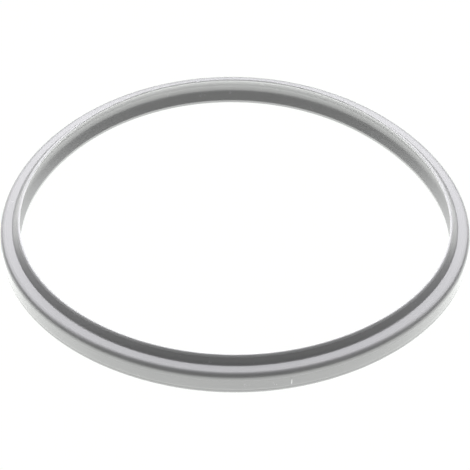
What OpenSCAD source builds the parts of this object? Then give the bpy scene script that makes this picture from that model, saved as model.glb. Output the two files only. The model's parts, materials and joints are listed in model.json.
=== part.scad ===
// Sealing ring of a stovetop pressure cooker: one moulded silicone ring.
// Its section has an upright outer wall, a flat ledge on top of it, a thin lip that leans
// inwards above the ledge, and a hollow inner face that flares out into a skirt at the foot.
//
// Millimetres, +Z up. The origin is the ring's centre on the face that it rests on.
// A section point is [inset, height]: inset is measured in from the outer wall.

/* [Ring] */
// Outside diameter of the ring
ring_d = 238; // [180:1:300]
// Width of the section, from the outer wall in to the edge of the skirt
ring_w = 9.6; // [8:0.1:12]
// Height of the outer wall, where it would meet the ledge without its rounding
wall_h = 12; // [10:0.1:15]

/* [Ledge] */
// Width of the ledge, from the outer wall in to the root of the lip
ledge_w = 6.2; // [4.5:0.1:6.4]
// How much higher the ledge is at the lip than at the outer wall
ledge_rise = 0.9; // [0:0.1:1]

/* [Lip] */
// Height of the lip above the ledge
lip_h = 3.6; // [2.4:0.1:5]
// Width of the lip at its crest, which is fully rounded
crest_w = 1.6; // [1:0.1:2.2]
// How far the lip's inner corner, before its rounding, stands in past the edge of the skirt
lip_overhang = 1.4; // [0:0.05:1.5]

/* [Hollow] */
// Height of the waist, the deepest line of the hollow inner face
waist_h = 8.9; // [6.5:0.1:9.5]
// Depth of the hollow at the waist, out from the edge of the skirt
waist_depth = 3.6; // [2:0.1:4.3]
// Radius of the hollow at the waist
waist_r = 5; // [2:0.1:6]

/* [Skirt] */
// Height of the upright land along the edge of the skirt
land_h = 1.8; // [1.3:0.1:3]
// Radius between the land and the skirt's sloping top
land_r = 0.5; // [0.2:0.1:1]

/* [Edges] */
// Radius of the outer wall's top edge
top_edge_r = 2.6; // [0.5:0.1:3.2]
// Radius of the outer wall's bottom edge
bottom_edge_r = 2; // [0.5:0.1:3]
// Radius of the skirt's bottom edge
skirt_edge_r = 0.6; // [0.2:0.1:1]
// Radius of the fillet between the ledge and the lip
root_r = 1.5; // [0.3:0.1:1.5]

/* [Hidden] */
ring_fn = 240;
arc_steps = 10;

ring_r = ring_d / 2;
ledge_h = wall_h + ledge_rise;
ring_h = ledge_h + lip_h;
crest_in = ring_w + lip_overhang;
crest_out = crest_in - crest_w;

outer_foot = [0, 0];
wall_top = [0, wall_h];
lip_root = [ledge_w, ledge_h];
crest_outer = [crest_out, ring_h];
crest_inner = [crest_in, ring_h];
waist = [ring_w - waist_depth, waist_h];
land_top = [ring_w, land_h];
skirt_foot = [ring_w, 0];

// The crest's two corners share one radius, which uses up the whole width between them.
crest_r = crest_w / (tan_share(lip_root, crest_outer, crest_inner)
                     + tan_share(crest_outer, crest_inner, waist));

// The section's corners in order, each with the radius that rounds it.
corners = [outer_foot, wall_top, lip_root, crest_outer, crest_inner, waist, land_top, skirt_foot];
radii = [bottom_edge_r, top_edge_r, root_r, crest_r, crest_r, waist_r, land_r, skirt_edge_r];
count = len(corners);

function unit(v) = v / norm(v);
function bend(before, at, after) = acos(unit(before - at) * unit(after - at));
// Distance from a corner to where its rounding starts, for a radius of 1
function tan_share(before, at, after) = 1 / tan(bend(before, at, after) / 2);

function corner(i) = corners[(i + count) % count];
function share(i) = radii[i] * tan_share(corner(i - 1), corner(i), corner(i + 1));
function arc_start(i) = corner(i) + share(i) * unit(corner(i - 1) - corner(i));
function arc_end(i) = corner(i) + share(i) * unit(corner(i + 1) - corner(i));
function arc_centre(i) =
    corner(i) + norm([share(i), radii[i]]) * unit(arc_start(i) + arc_end(i) - 2 * corner(i));

// Points along the arc that rounds a corner, found by turning from its start to its end
function arc(i) =
    let (
        centre = arc_centre(i),
        spoke = arc_start(i) - centre,
        side = arc_end(i) - centre,
        turn = atan2(cross(spoke, side), spoke * side)
    )
    [for (step = [0 : arc_steps])
        let (angle = turn * step / arc_steps)
        centre + [cos(angle) * spoke.x - sin(angle) * spoke.y, sin(angle) * spoke.x + cos(angle) * spoke.y]];

module section() {
    polygon([for (i = [0 : count - 1]) each arc(i)]);
}

module sealing_ring() {
    color("darkgray")
    rotate_extrude($fn = ring_fn)
    translate([ring_r, 0])
    mirror([1, 0])
    section();
}

sealing_ring();
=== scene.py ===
import json
import math

import bpy
from mathutils import Matrix, Vector


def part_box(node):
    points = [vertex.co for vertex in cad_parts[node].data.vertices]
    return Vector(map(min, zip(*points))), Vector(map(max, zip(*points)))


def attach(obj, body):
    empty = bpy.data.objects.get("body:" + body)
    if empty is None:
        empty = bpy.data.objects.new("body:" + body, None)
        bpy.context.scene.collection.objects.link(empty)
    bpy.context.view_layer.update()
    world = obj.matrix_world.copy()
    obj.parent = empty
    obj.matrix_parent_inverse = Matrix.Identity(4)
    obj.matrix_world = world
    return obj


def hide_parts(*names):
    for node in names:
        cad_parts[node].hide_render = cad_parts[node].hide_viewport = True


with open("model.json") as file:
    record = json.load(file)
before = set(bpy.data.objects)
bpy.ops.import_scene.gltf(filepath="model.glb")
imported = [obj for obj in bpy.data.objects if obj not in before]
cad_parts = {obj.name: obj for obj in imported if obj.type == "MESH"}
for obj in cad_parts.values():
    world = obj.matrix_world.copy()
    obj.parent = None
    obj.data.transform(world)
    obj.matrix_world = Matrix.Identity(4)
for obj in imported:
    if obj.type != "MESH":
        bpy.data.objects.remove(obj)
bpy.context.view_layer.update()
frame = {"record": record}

MM = 0.001
MOUNTS = {mount["name"]: mount for mount in frame["record"]["mounts"]}

# ---------------------------------------------------------------- the ring's sizes
RING_R = MOUNTS["outer_wall"]["dims"]["r_mm"] * MM
BORE_R = MOUNTS["skirt_bore"]["dims"]["r_mm"] * MM
RING_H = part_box("sealing_ring")[1][2]
RING_W = RING_R - BORE_R

WALL_H = 12.0 * MM          # outer wall, up to where it would meet the ledge unrounded
LEDGE_W = 6.2 * MM          # ledge, from the outer wall in to the root of the lip
LEDGE_RISE = 0.9 * MM       # the ledge climbs this much towards the lip
CREST_W = 1.6 * MM          # the lip at its fully rounded crest
LIP_OVERHANG = 1.4 * MM     # lip's inner corner, in past the edge of the skirt
WAIST_H = 8.9 * MM          # deepest line of the hollow inner face
WAIST_DEPTH = 3.6 * MM      # how deep the hollow is there
LAND_H = 1.8 * MM           # upright land along the edge of the skirt
LIP_SLOPE = 0.71            # the lip's middle line goes in by this for each step up

WAIST_R = 5.0 * MM
LAND_R = 0.5 * MM
TOP_EDGE_R = 2.6 * MM
BOTTOM_EDGE_R = 2.0 * MM
SKIRT_EDGE_R = 0.6 * MM
ROOT_R = 1.5 * MM

PARTING_H = 2.9 * MM        # fine groove round the outer wall, where the mould halves met
PARTING_W = 0.3 * MM
PARTING_DEEP = 0.06 * MM

AROUND = 900                # steps round the ring
ARC_STEPS = 7               # steps in each rounded corner of the section
LONGEST_STEP = 1.0 * MM     # straight parts of the section are cut into steps no longer
SAME_SPOT = 0.001 * MM      # where two roundings meet, their shared point is used once

# A soft ring never lies perfectly round. Each wave is the number of lobes, how far they
# stand out, and the azimuth of one of them in degrees, from +X towards +Y. The heights and
# azimuths were fitted to one ring's outline.
WAVES = [(2, 0.96 * MM, -22.0), (3, 1.33 * MM, -26.0),
         (4, 0.41 * MM, -2.0), (5, 0.24 * MM, -15.0)]
ROUND_SHARE = 0.9896        # drawn in by this, so that the lobes stay within the true circle
SIDE_SLIP = -0.36 * MM      # and moved sideways by this, for the same reason

# Small moulding marks, placed by their azimuth in degrees. The gate is an upright tick on the
# outer wall and the nick is a shallow dip in the crest.
GATE_AZ = -76.8
GATE_LOW, GATE_HIGH = 4.4 * MM, 7.8 * MM
GATE_W = 1.1 * MM
GATE_PROUD = 0.45 * MM
GATE_FOOT = 0.8 * MM        # the tick rises to its full height over this at its lower end
GATE_TIP = 1.2 * MM         # and sinks back over this at its upper end
GATE_INSET = 1.5 * MM       # only the outer wall's skin, this thick, is moved
NICK_AZ = 100.5
NICK_W = 3.0 * MM
NICK_DEEP = 0.45 * MM
NICK_FADE = 2.0 * MM        # the dip dies out this far below the crest
FINE_STEP = 0.12 * MM       # steps round the ring next to a mark, where the mark is narrow
MARK_STEPS = 12             # and the steps across a wider one
MARK_MARGIN = 1.5           # how far they reach from a mark's middle, in widths of the mark


# ---------------------------------------------------------------- node helpers
def link(tree, source, target):
    """Joins an output socket to an input socket, or sets the input to a plain value."""
    if isinstance(source, bpy.types.NodeSocket):
        tree.links.new(source, target)
    else:
        target.default_value = source


def add(tree, kind, **settings):
    """Adds a node and sets its properties."""
    node = tree.nodes.new(kind)
    for name, value in settings.items():
        setattr(node, name, value)
    return node


def maths(tree, operation, *values):
    """What a Math node makes of sockets or plain numbers."""
    node = add(tree, "ShaderNodeMath", operation=operation)
    for socket, value in zip(node.inputs, values):
        link(tree, value, socket)
    return node.outputs[0]


def faded(tree, value, start, end, low=0.0, high=1.0):
    """Eases from low to high while a value goes from start to end."""
    node = add(tree, "ShaderNodeMapRange", interpolation_type="SMOOTHSTEP")
    for name, number in (("Value", value), ("From Min", start), ("From Max", end),
                         ("To Min", low), ("To Max", high)):
        link(tree, number, node.inputs[name])
    return node.outputs["Result"]


def weighed(tree, total, *parts):
    """A starting number plus every mask times its weight."""
    for mask, weight in parts:
        total = maths(tree, "MULTIPLY_ADD", mask, weight, total)
    return total


# ---------------------------------------------------------------- camera
def make_camera():
    """Looks down at the ring from the front with a long lens."""
    elevation = math.radians(41.0)
    distance = 7.43 * RING_R
    lens_per_frame = 3.653      # focal length as a share of the frame's width
    sensor = 36.0
    aim = Vector((0.0001, -0.0017, -0.0020))
    data = bpy.data.cameras.new("camera")
    data.sensor_width = sensor
    data.lens = sensor * lens_per_frame
    data.clip_start = 0.05
    camera = bpy.data.objects.new("camera", data)
    place = Vector((0, -math.cos(elevation), math.sin(elevation))) * distance
    facing = (aim - place).to_track_quat("-Z", "Y").to_matrix().to_4x4()
    camera.matrix_world = Matrix.Translation(place) @ facing
    bpy.context.scene.collection.objects.link(camera)
    bpy.context.scene.camera = camera


# ---------------------------------------------------------------- light
def light_table_top():
    """Opal glass lit from below: it lights the ring strongly, and is seen as plain white."""
    glow = 2.35                 # what the ring receives
    seen = 1.02                 # what the camera receives, just past white
    material = bpy.data.materials.new("lit_opal_glass")
    material.use_nodes = True
    tree = material.node_tree
    shader = tree.nodes["Principled BSDF"]
    shader.inputs["Base Color"].default_value = (0, 0, 0, 1)
    shader.inputs["Specular IOR Level"].default_value = 0.0
    shader.inputs["Emission Color"].default_value = (0.985, 1.0, 0.98, 1)
    looked_at = add(tree, "ShaderNodeLightPath").outputs["Is Camera Ray"]
    strength = maths(tree, "MULTIPLY_ADD", looked_at, seen - glow, glow)
    link(tree, strength, shader.inputs["Emission Strength"])
    return material


def make_floor():
    """A round light table with no edge in sight."""
    radius = 4.0
    sides = 128
    mesh = bpy.data.meshes.new("light_table")
    rim = [(radius * math.cos(math.tau * k / sides), radius * math.sin(math.tau * k / sides), 0)
           for k in range(sides)]
    mesh.from_pydata(rim, [], [list(range(sides))])
    mesh.materials.append(light_table_top())
    floor = bpy.data.objects.new("light_table", mesh)
    bpy.context.scene.collection.objects.link(floor)


def softbox(name, place, aim, width, height, strength, colour=(1, 1, 1)):
    """A rectangular area light that faces a point."""
    data = bpy.data.lights.new(name, "AREA")
    data.shape = "RECTANGLE"
    data.size = width
    data.size_y = height
    data.energy = strength
    data.color = colour
    lamp = bpy.data.objects.new(name, data)
    lamp.location = place
    lamp.rotation_euler = (Vector(aim) - Vector(place)).to_track_quat("-Z", "Y").to_euler()
    bpy.context.scene.collection.objects.link(lamp)


def make_light():
    """A wide bright sweep behind the ring, a weak fill at each side, and a dim room."""
    softbox("back_sweep", (0, 1.45, 1.45), (0, 0, 0), 4.6, 2.2, 143, (0.97, 0.965, 1.0))
    for side in (-1, 1):
        softbox("side_fill", (1.5 * side, 0.2, 1.35), (0, 0, 0), 1.2, 0.7, 4)
    world = bpy.data.worlds.new("dim_room")
    world.use_nodes = True
    backdrop = world.node_tree.nodes["Background"]
    backdrop.inputs["Color"].default_value = (0.12, 0.12, 0.12, 1)
    backdrop.inputs["Strength"].default_value = 1.0
    bpy.context.scene.world = world
    bpy.context.scene.view_settings.view_transform = "Standard"


# ---------------------------------------------------------------- silicone
def noise(tree, vector, scale, detail=2.0, roughness=0.5):
    """A noise texture's plain value."""
    node = add(tree, "ShaderNodeTexNoise")
    link(tree, vector, node.inputs["Vector"])
    node.inputs["Scale"].default_value = scale
    node.inputs["Detail"].default_value = detail
    node.inputs["Roughness"].default_value = roughness
    return node.outputs["Fac"]


def silicone():
    """Satin grey moulded silicone."""
    material = bpy.data.materials.new("grey_silicone")
    material.use_nodes = True
    tree = material.node_tree
    shader = tree.nodes["Principled BSDF"]
    where = add(tree, "ShaderNodeTexCoord").outputs["Object"]
    place = add(tree, "ShaderNodeAttribute", attribute_name="section_place")
    across = add(tree, "ShaderNodeSeparateXYZ")
    link(tree, place.outputs["Vector"], across.inputs["Vector"])
    inset, height, gate = across.outputs

    clouds = noise(tree, where, 45.0, 3.0)
    smears = noise(tree, where, 160.0, 4.0, 0.6)
    grain = noise(tree, where, 5200.0, 2.0)

    # Turning marks of the mould: fine lines that run round the ring, pushed about by the clouds
    spread = 60.0
    turned = add(tree, "ShaderNodeCombineXYZ")
    link(tree, maths(tree, "MULTIPLY", inset, spread), turned.inputs["X"])
    link(tree, maths(tree, "MULTIPLY", height, spread), turned.inputs["Y"])
    link(tree, clouds, turned.inputs["Z"])
    lines = noise(tree, turned.outputs["Vector"], 60.0, 3.0, 0.65)

    # Dust: pale specks, in sparse patches
    cells = add(tree, "ShaderNodeTexVoronoi", feature="F1")
    link(tree, where, cells.inputs["Vector"])
    cells.inputs["Scale"].default_value = 700.0
    patches = maths(tree, "GREATER_THAN", noise(tree, where, 330.0, 1.0), 0.74)
    specks = faded(tree, cells.outputs["Distance"], 0.16, 0.08)
    dust = maths(tree, "MULTIPLY", specks, patches)

    # A real lip lets some light through, and the light table brightens the base of the wall.
    # Here both are painted glow, coloured paler only: the lip on its crest and its inner side,
    # and the wall at its base.
    side = maths(tree, "MULTIPLY_ADD", height, -LIP_SLOPE, inset)
    inner = faded(tree, side, -2.2 * MM, -1.2 * MM)
    lip_glow = maths(tree, "MULTIPLY", inner, faded(tree, height, RING_H - 9.0 * MM, RING_H))
    crest = faded(tree, height, RING_H - 1.1 * MM, RING_H - 0.2 * MM)
    foot_glow = faded(tree, height, 2.2 * MM, 0.2 * MM)

    # The outer wall's top edge is rubbed duller by handling.
    rubbed = maths(tree, "MULTIPLY", faded(tree, height, WALL_H - 3.5 * MM, WALL_H - 2.0 * MM),
                   faded(tree, inset, 3.2 * MM, 2.0 * MM))

    # The gate's tick is also painted much paler: a painted highlight, where a facet of the tick
    # catches the light.
    tone = weighed(tree, 0.895, (clouds, 0.12), (smears, 0.04), (lines, 0.05), (lip_glow, 1.1),
                   (crest, 0.6), (foot_glow, 0.45), (dust, 0.15), (gate, 1.8))
    colour = add(tree, "ShaderNodeVectorMath", operation="SCALE")
    colour.inputs[0].default_value = (0.20, 0.20, 0.201)
    link(tree, tone, colour.inputs["Scale"])
    link(tree, colour.outputs["Vector"], shader.inputs["Base Color"])

    dullness = weighed(tree, 0.21, (smears, 0.07), (lines, 0.03), (dust, 0.1), (rubbed, 0.12),
                       (crest, 0.14))
    link(tree, dullness, shader.inputs["Roughness"])
    shader.inputs["IOR"].default_value = 1.5
    shader.inputs["Specular IOR Level"].default_value = 1.0

    relief = weighed(tree, 0.0, (lines, 0.6), (grain, 0.4))
    bump = add(tree, "ShaderNodeBump")
    bump.inputs["Strength"].default_value = 0.05
    bump.inputs["Distance"].default_value = 0.02 * MM
    link(tree, relief, bump.inputs["Height"])
    link(tree, bump.outputs["Normal"], shader.inputs["Normal"])
    return material


# ---------------------------------------------------------------- the ring's section
def section_corners():
    """The section's corners as (inset from the outer wall, height) and rounding radius."""
    crest_in = RING_W + LIP_OVERHANG
    lip_root = (LEDGE_W, WALL_H + LEDGE_RISE)
    crest_outer = (crest_in - CREST_W, RING_H)
    crest_inner = (crest_in, RING_H)
    waist = (RING_W - WAIST_DEPTH, WAIST_H)
    crest_r = CREST_W / (tan_share(lip_root, crest_outer, crest_inner)
                         + tan_share(crest_outer, crest_inner, waist))
    half = PARTING_W / 2
    return [
        ((0, 0), BOTTOM_EDGE_R),
        ((0, PARTING_H - half), 0),
        ((PARTING_DEEP, PARTING_H), 0),
        ((0, PARTING_H + half), 0),
        ((0, WALL_H), TOP_EDGE_R),
        (lip_root, ROOT_R),
        (crest_outer, crest_r),
        (crest_inner, crest_r),
        (waist, WAIST_R),
        ((RING_W, LAND_H), LAND_R),
        ((RING_W, 0), SKIRT_EDGE_R),
    ]


def tan_share(before, at, after):
    """Distance from a corner to where its rounding starts, for a radius of 1."""
    at = Vector(at)
    return 1 / math.tan((Vector(before) - at).angle(Vector(after) - at) / 2)


def rounded(before, at, after, radius):
    """Points along the arc that rounds a corner, or the corner itself."""
    if radius == 0:
        return [Vector(at)]
    share = radius * tan_share(before, at, after)
    at = Vector(at)
    start = at + (Vector(before) - at).normalized() * share
    end = at + (Vector(after) - at).normalized() * share
    centre = at + ((start + end) / 2 - at).normalized() * math.hypot(share, radius)
    turn = -(start - centre).angle_signed(end - centre)
    return [centre + Matrix.Rotation(turn * k / ARC_STEPS, 2) @ (start - centre)
            for k in range(ARC_STEPS + 1)]


def section_points():
    """The whole outline, with its long straight parts cut into steps."""
    corners = section_corners()
    count = len(corners)
    outline = []
    for k, (at, radius) in enumerate(corners):
        outline += rounded(corners[k - 1][0], at, corners[(k + 1) % count][0], radius)
    points = []
    for k, at in enumerate(outline):
        ahead = outline[(k + 1) % len(outline)]
        if (ahead - at).length < SAME_SPOT:
            continue
        steps = max(1, math.ceil((ahead - at).length / LONGEST_STEP))
        points += [at.lerp(ahead, step / steps) for step in range(steps)]
    return points


def loop_mesh(name, points):
    """A closed loop of edges."""
    mesh = bpy.data.meshes.new(name)
    mesh.from_pydata(points, [(k, (k + 1) % len(points)) for k in range(len(points))], [])
    return mesh


def rail_points():
    """The outer wall's circle, with finer steps next to the moulding marks."""
    turns = {math.tau * k / AROUND for k in range(AROUND)}
    for azimuth, width in ((GATE_AZ, GATE_W), (NICK_AZ, NICK_W)):
        middle = math.radians(azimuth) % math.tau
        reach = MARK_MARGIN * width / RING_R
        half_step = math.pi / AROUND
        turns = {turn for turn in turns if abs(turn - middle) > reach + half_step}
        steps = math.ceil(2 * reach * RING_R / max(FINE_STEP, width / MARK_STEPS))
        turns |= {middle - reach + 2 * reach * k / steps for k in range(steps + 1)}
    return [(RING_R * math.cos(turn), RING_R * math.sin(turn), 0) for turn in sorted(turns)]


# ---------------------------------------------------------------- the ring
def sweep_tree():
    """Sweeps a section round a rail, then gives the ring its marks and its slack."""
    tree = bpy.data.node_groups.new("ring_sweep", "GeometryNodeTree")
    face = tree.interface
    for name, kind in (("Section", "Geometry"), ("Rail", "Object"), ("Ring radius", "Float"),
                       ("Round share", "Float"), ("Side slip", "Float"),
                       ("Gate azimuth", "Float"), ("Gate width", "Float"),
                       ("Gate low", "Float"), ("Gate high", "Float"), ("Gate proud", "Float"),
                       ("Nick azimuth", "Float"), ("Nick width", "Float"),
                       ("Nick deep", "Float"), ("Crest height", "Float"),
                       ("Material", "Material")):
        face.new_socket(name, in_out="INPUT", socket_type="NodeSocket" + kind)
    for k in range(len(WAVES)):
        for name in ("lobes", "height", "azimuth"):
            face.new_socket(f"Wave {k} {name}", in_out="INPUT", socket_type="NodeSocketFloat")
    face.new_socket("Ring", in_out="OUTPUT", socket_type="NodeSocketGeometry")
    source = add(tree, "NodeGroupInput").outputs
    result = add(tree, "NodeGroupOutput").inputs

    outline = add(tree, "GeometryNodeMeshToCurve")
    link(tree, source["Section"], outline.inputs["Mesh"])
    rail = add(tree, "GeometryNodeObjectInfo")
    link(tree, source["Rail"], rail.inputs["Object"])
    track = add(tree, "GeometryNodeMeshToCurve")
    link(tree, rail.outputs["Geometry"], track.inputs["Mesh"])
    sweep = add(tree, "GeometryNodeCurveToMesh")
    link(tree, track.outputs["Curve"], sweep.inputs["Curve"])
    link(tree, outline.outputs["Curve"], sweep.inputs["Profile Curve"])

    # Where each point is round the ring and in its section
    spot = add(tree, "ShaderNodeSeparateXYZ")
    link(tree, add(tree, "GeometryNodeInputPosition").outputs[0], spot.inputs["Vector"])
    x, y, z = spot.outputs
    out = maths(tree, "SQRT", maths(tree, "MULTIPLY_ADD", x, x, maths(tree, "MULTIPLY", y, y)))
    azimuth = maths(tree, "ARCTAN2", y, x)
    inset = maths(tree, "SUBTRACT", source["Ring radius"], out)

    def nearness(middle, width):
        """1 at an azimuth, easing to 0 half a width away along the wall."""
        away = maths(tree, "ABSOLUTE", maths(tree, "SUBTRACT", azimuth, middle))
        away = maths(tree, "MULTIPLY", away, source["Ring radius"])
        return faded(tree, away, 0.0, maths(tree, "DIVIDE", width, 2.0), 1.0, 0.0)

    # The gate's small upright mark on the outer wall
    gate = nearness(source["Gate azimuth"], source["Gate width"])
    low, high = source["Gate low"], source["Gate high"]
    for start, end in ((low, maths(tree, "ADD", low, GATE_FOOT)),
                       (high, maths(tree, "SUBTRACT", high, GATE_TIP))):
        gate = maths(tree, "MULTIPLY", gate, faded(tree, z, start, end))
    gate = maths(tree, "MULTIPLY", gate, maths(tree, "LESS_THAN", inset, GATE_INSET))

    # Inset, height and the gate's mark are kept for the material, which paints a highlight on
    # the mark.
    place = add(tree, "ShaderNodeCombineXYZ")
    for value, socket in zip((inset, z, gate), place.inputs):
        link(tree, value, socket)
    keep = add(tree, "GeometryNodeStoreNamedAttribute", data_type="FLOAT_VECTOR", domain="POINT")
    link(tree, sweep.outputs["Mesh"], keep.inputs["Geometry"])
    keep.inputs["Name"].default_value = "section_place"
    link(tree, place.outputs["Vector"], keep.inputs["Value"])

    out = maths(tree, "MULTIPLY_ADD", gate, source["Gate proud"], out)

    # The nick in the crest
    nick = nearness(source["Nick azimuth"], source["Nick width"])
    fade_from = maths(tree, "SUBTRACT", source["Crest height"], NICK_FADE)
    nick = maths(tree, "MULTIPLY", nick, faded(tree, z, fade_from, source["Crest height"]))
    z = maths(tree, "SUBTRACT", z, maths(tree, "MULTIPLY", nick, source["Nick deep"]))

    # The slack of a soft ring
    for k in range(len(WAVES)):
        swing = maths(tree, "SUBTRACT", azimuth, source[f"Wave {k} azimuth"])
        swing = maths(tree, "COSINE", maths(tree, "MULTIPLY", swing, source[f"Wave {k} lobes"]))
        out = maths(tree, "MULTIPLY_ADD", swing, source[f"Wave {k} height"], out)
    out = maths(tree, "MULTIPLY", out, source["Round share"])
    moved = add(tree, "ShaderNodeCombineXYZ")
    along = maths(tree, "MULTIPLY", out, maths(tree, "COSINE", azimuth))
    link(tree, maths(tree, "ADD", along, source["Side slip"]), moved.inputs["X"])
    link(tree, maths(tree, "MULTIPLY", out, maths(tree, "SINE", azimuth)), moved.inputs["Y"])
    link(tree, z, moved.inputs["Z"])
    settle = add(tree, "GeometryNodeSetPosition")
    link(tree, keep.outputs["Geometry"], settle.inputs["Geometry"])
    link(tree, moved.outputs["Vector"], settle.inputs["Position"])

    # The sweep leaves its faces pointing into the rubber
    outward = add(tree, "GeometryNodeFlipFaces")
    link(tree, settle.outputs["Geometry"], outward.inputs["Mesh"])
    smooth = add(tree, "GeometryNodeSetShadeSmooth")
    link(tree, outward.outputs["Mesh"], smooth.inputs["Geometry"])
    real = add(tree, "GeometryNodeRealizeInstances")
    link(tree, smooth.outputs["Geometry"], real.inputs["Geometry"])
    paint = add(tree, "GeometryNodeSetMaterial")
    link(tree, real.outputs["Geometry"], paint.inputs["Geometry"])
    link(tree, source["Material"], paint.inputs["Material"])
    link(tree, paint.outputs["Geometry"], result["Ring"])
    return tree


def set_inputs(modifier, values):
    """Sets a tree's named inputs on its modifier."""
    for item in modifier.node_group.interface.items_tree:
        if item.in_out == "INPUT" and item.name in values:
            modifier[item.identifier] = values[item.name]


def make_ring():
    """The whole ring, as one plain mesh."""
    rail = bpy.data.objects.new("rail", loop_mesh("rail", rail_points()))
    profile = [(-inset, -height, 0) for inset, height in section_points()]
    base = bpy.data.objects.new("section", loop_mesh("section", profile))
    for part in (rail, base):
        bpy.context.scene.collection.objects.link(part)
    modifier = base.modifiers.new("sweep", "NODES")
    modifier.node_group = sweep_tree()
    values = {
        "Rail": rail, "Ring radius": RING_R,
        "Round share": ROUND_SHARE, "Side slip": SIDE_SLIP,
        "Gate azimuth": math.radians(GATE_AZ), "Gate width": GATE_W, "Gate low": GATE_LOW,
        "Gate high": GATE_HIGH, "Gate proud": GATE_PROUD,
        "Nick azimuth": math.radians(NICK_AZ), "Nick width": NICK_W, "Nick deep": NICK_DEEP,
        "Crest height": RING_H, "Material": silicone(),
    }
    for k, (lobes, size, azimuth) in enumerate(WAVES):
        values[f"Wave {k} lobes"] = float(lobes)
        values[f"Wave {k} height"] = size
        values[f"Wave {k} azimuth"] = math.radians(azimuth)
    set_inputs(modifier, values)
    evaluated = base.evaluated_get(bpy.context.evaluated_depsgraph_get())
    mesh = bpy.data.meshes.new_from_object(evaluated)
    mesh.name = "moulded_ring"
    for part in (rail, base):
        bpy.data.objects.remove(part)
    ring = bpy.data.objects.new("moulded_ring", mesh)
    bpy.context.scene.collection.objects.link(ring)
    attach(ring, "root")
    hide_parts("sealing_ring")


make_camera()
make_floor()
make_light()
make_ring()
